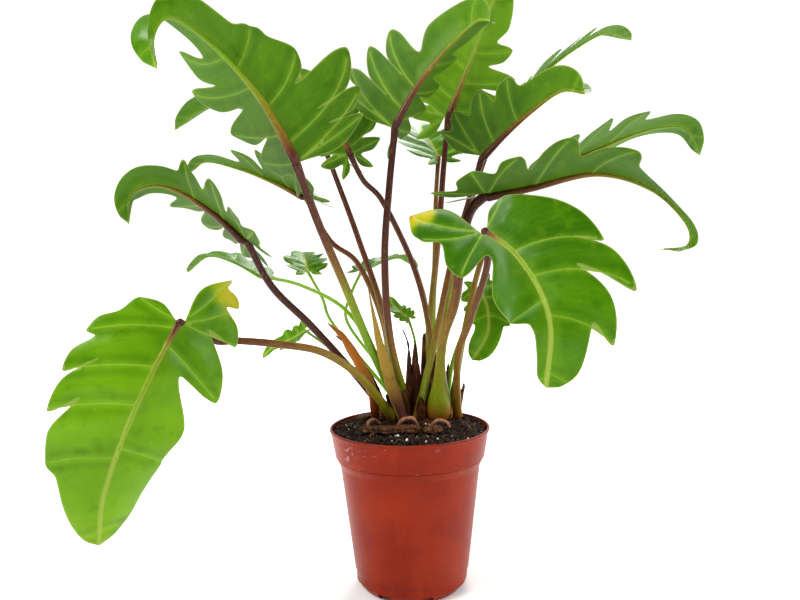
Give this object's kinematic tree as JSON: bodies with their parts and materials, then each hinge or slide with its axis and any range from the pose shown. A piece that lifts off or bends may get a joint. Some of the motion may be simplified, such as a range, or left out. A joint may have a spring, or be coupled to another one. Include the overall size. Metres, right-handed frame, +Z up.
{
  "type": "potted philodendron",
  "caption": "Leafy tree philodendron with deeply lobed green leaves on long reddish stalks, growing in a tapered brick-red plastic nursery pot filled with soil.",
  "frame": {"origin": "middle of the pot's base, on the surface that it stands on", "axes": "+Z up, +X to the right and -Y to the front, as the plant is seen from its front"},
  "size_m": [0.4398, 0.2821, 0.4473],
  "materials": {
    "pot": "satin, scuffed with dried soil",
    "soil": "rough, crumbly peat",
    "crown": "rough, scarred stem",
    "leaf": "satin, waxy above and duller below",
    "young_leaf": "satin, thin and pale",
    "stalk": "satin, finely streaked",
    "green_stalk": "satin",
    "dry_sheath": "papery",
    "dead_stalk": "dry",
    "root": "rough",
    "bark": "rough"
  },
  "bodies": {
    "root": {"pot": "pot", "soil": "soil", "crown": "crown", "stalk_front_left": "stalk", "leaf_front_left": "leaf", "stalk_front_right": "stalk", "leaf_front_right": "leaf", "stalk_tall_left": "stalk", "leaf_tall_left": "leaf", "stalk_mid_left": "stalk", "leaf_mid_left": "leaf", "stalk_centre_tall": "stalk", "leaf_centre_tall": "leaf", "stalk_right_long": "stalk", "leaf_right_long": "leaf", "stalk_right_upper": "stalk", "leaf_right_upper": "leaf", "stalk_right_mid": "stalk", "leaf_right_mid": "leaf", "stalk_top_centre": "stalk", "leaf_top_centre": "leaf", "stalk_top_right": "stalk", "leaf_top_right": "leaf", "stalk_behind_right": "stalk", "leaf_behind_right": "leaf", "stalk_centre_left": "stalk", "leaf_centre_left": "leaf", "stalk_back_tall_left": "stalk", "leaf_back_tall_left": "leaf", "stalk_back_left": "stalk", "leaf_back_left": "leaf", "stalk_low_back_left": "green_stalk", "leaf_low_back_left": "young_leaf", "stalk_back_centre_left": "green_stalk", "leaf_back_centre_left": "young_leaf", "stalk_back_centre": "green_stalk", "leaf_back_centre": "young_leaf", "stalk_behind_front_right": "green_stalk", "leaf_behind_front_right": "young_leaf", "stalk_small_left": "green_stalk", "leaf_small_left": "young_leaf", "stalk_small_centre": "green_stalk", "leaf_small_centre": "young_leaf", "sheath_tan": "dry_sheath", "sheath_orange": "dry_sheath", "stub_left": "dead_stalk", "stub_centre": "dead_stalk", "root_front": "root", "root_right": "root", "root_left": "root", "bark_long": "bark", "bark_short": "bark", "bark_back": "bark"}
  },
  "joints": []
}
